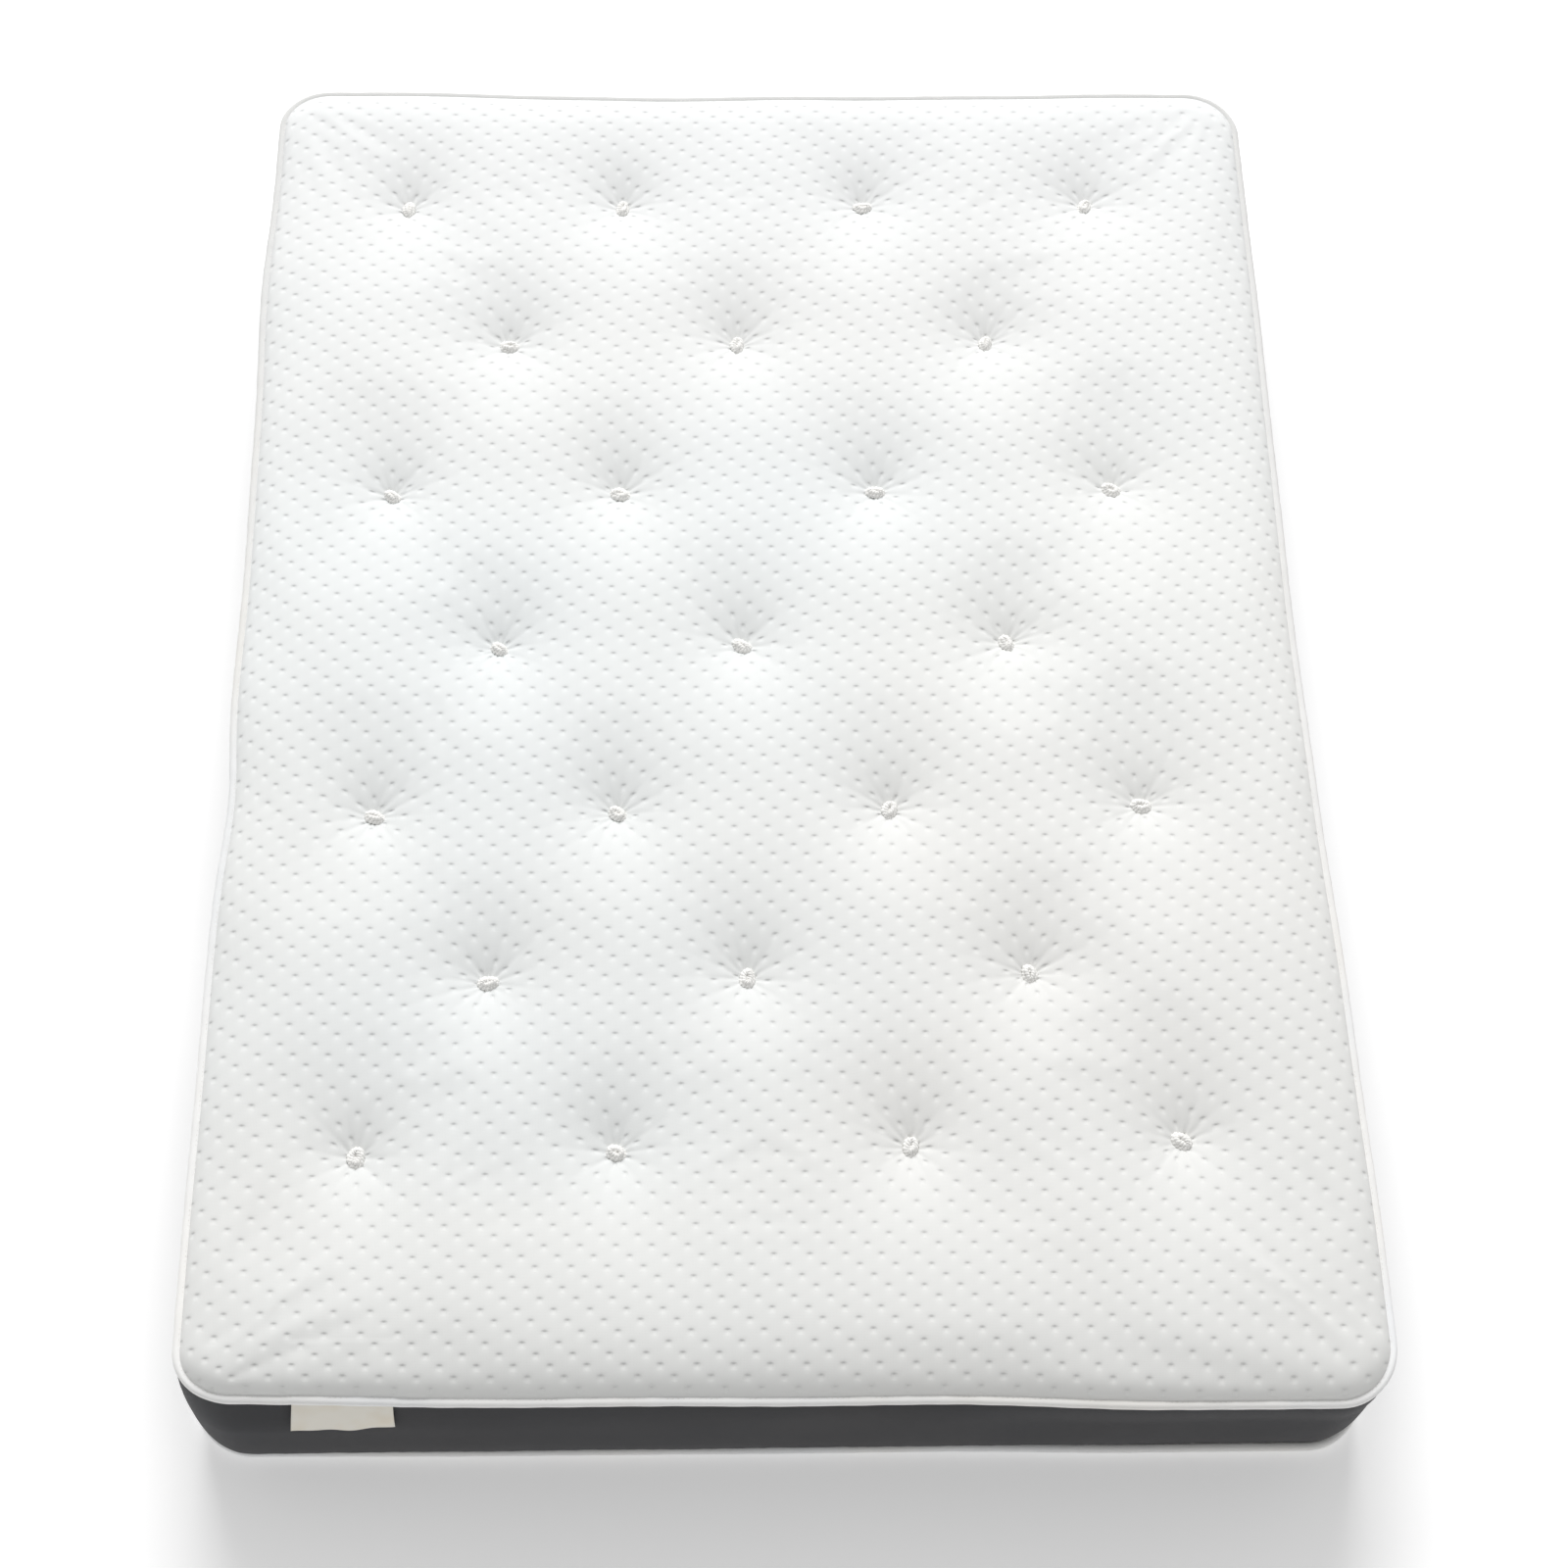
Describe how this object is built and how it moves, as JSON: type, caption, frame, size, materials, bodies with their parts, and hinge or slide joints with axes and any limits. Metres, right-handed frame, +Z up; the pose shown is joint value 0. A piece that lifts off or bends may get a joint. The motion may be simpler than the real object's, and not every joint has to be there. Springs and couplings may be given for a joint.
{
  "type": "memory foam mattress",
  "caption": "Double memory foam mattress with a dimpled white knitted top, deep yarn tufts, rolled tape edges, a dark fabric border and a cloth label that hangs at the foot end.",
  "frame": {"origin": "on the floor, under the middle of the mattress", "axes": "+Z up; +Y along the length from the foot end, which carries the label, to the head end; +X to the right of someone who stands at the foot end"},
  "size_m": [1.3496, 1.8997, 0.222],
  "materials": {
    "top_knit": "matte",
    "border_cloth": "matte",
    "base_cloth": "matte",
    "tape": "satin",
    "label_cloth": "matte",
    "tuft_yarn": "matte",
    "twine": "satin",
    "fibre_wadding": "matte",
    "fibre_felt": "matte",
    "memory_foam": "matte",
    "base_foam": "matte",
    "backing_foam": "matte"
  },
  "bodies": {
    "mattress": {"bottom_panel": "base_cloth", "bottom_fibre_pad": "fibre_felt", "base_foam_core": "base_foam", "memory_foam_layer": "memory_foam", "top_fibre_pad": "fibre_wadding", "top_panel": "top_knit", "side_border": "border_cloth", "border_backing": "backing_foam", "top_tape_edge": "tape", "bottom_tape_edge": "tape", "top_tuft_1_1": "tuft_yarn", "top_tuft_1_2": "tuft_yarn", "top_tuft_1_3": "tuft_yarn", "top_tuft_1_4": "tuft_yarn", "bottom_tufts_row_1": "tuft_yarn", "tufting_twine_row_1": "twine", "top_tuft_2_1": "tuft_yarn", "top_tuft_2_2": "tuft_yarn", "top_tuft_2_3": "tuft_yarn", "bottom_tufts_row_2": "tuft_yarn", "tufting_twine_row_2": "twine", "top_tuft_3_1": "tuft_yarn", "top_tuft_3_2": "tuft_yarn", "top_tuft_3_3": "tuft_yarn", "top_tuft_3_4": "tuft_yarn", "bottom_tufts_row_3": "tuft_yarn", "tufting_twine_row_3": "twine", "top_tuft_4_1": "tuft_yarn", "top_tuft_4_2": "tuft_yarn", "top_tuft_4_3": "tuft_yarn", "bottom_tufts_row_4": "tuft_yarn", "tufting_twine_row_4": "twine", "top_tuft_5_1": "tuft_yarn", "top_tuft_5_2": "tuft_yarn", "top_tuft_5_3": "tuft_yarn", "top_tuft_5_4": "tuft_yarn", "bottom_tufts_row_5": "tuft_yarn", "tufting_twine_row_5": "twine", "top_tuft_6_1": "tuft_yarn", "top_tuft_6_2": "tuft_yarn", "top_tuft_6_3": "tuft_yarn", "bottom_tufts_row_6": "tuft_yarn", "tufting_twine_row_6": "twine", "top_tuft_7_1": "tuft_yarn", "top_tuft_7_2": "tuft_yarn", "top_tuft_7_3": "tuft_yarn", "top_tuft_7_4": "tuft_yarn", "bottom_tufts_row_7": "tuft_yarn", "tufting_twine_row_7": "twine"},
    "label": {"label_flap": "label_cloth"}
  },
  "joints": [
    {"name": "label_swing", "type": "hinge", "parent": "mattress", "child": "label", "pos_m": [-0.488, -0.9495, 0.1905], "axis": [-1, 0, 0], "range_deg": [0, 165]}
  ]
}
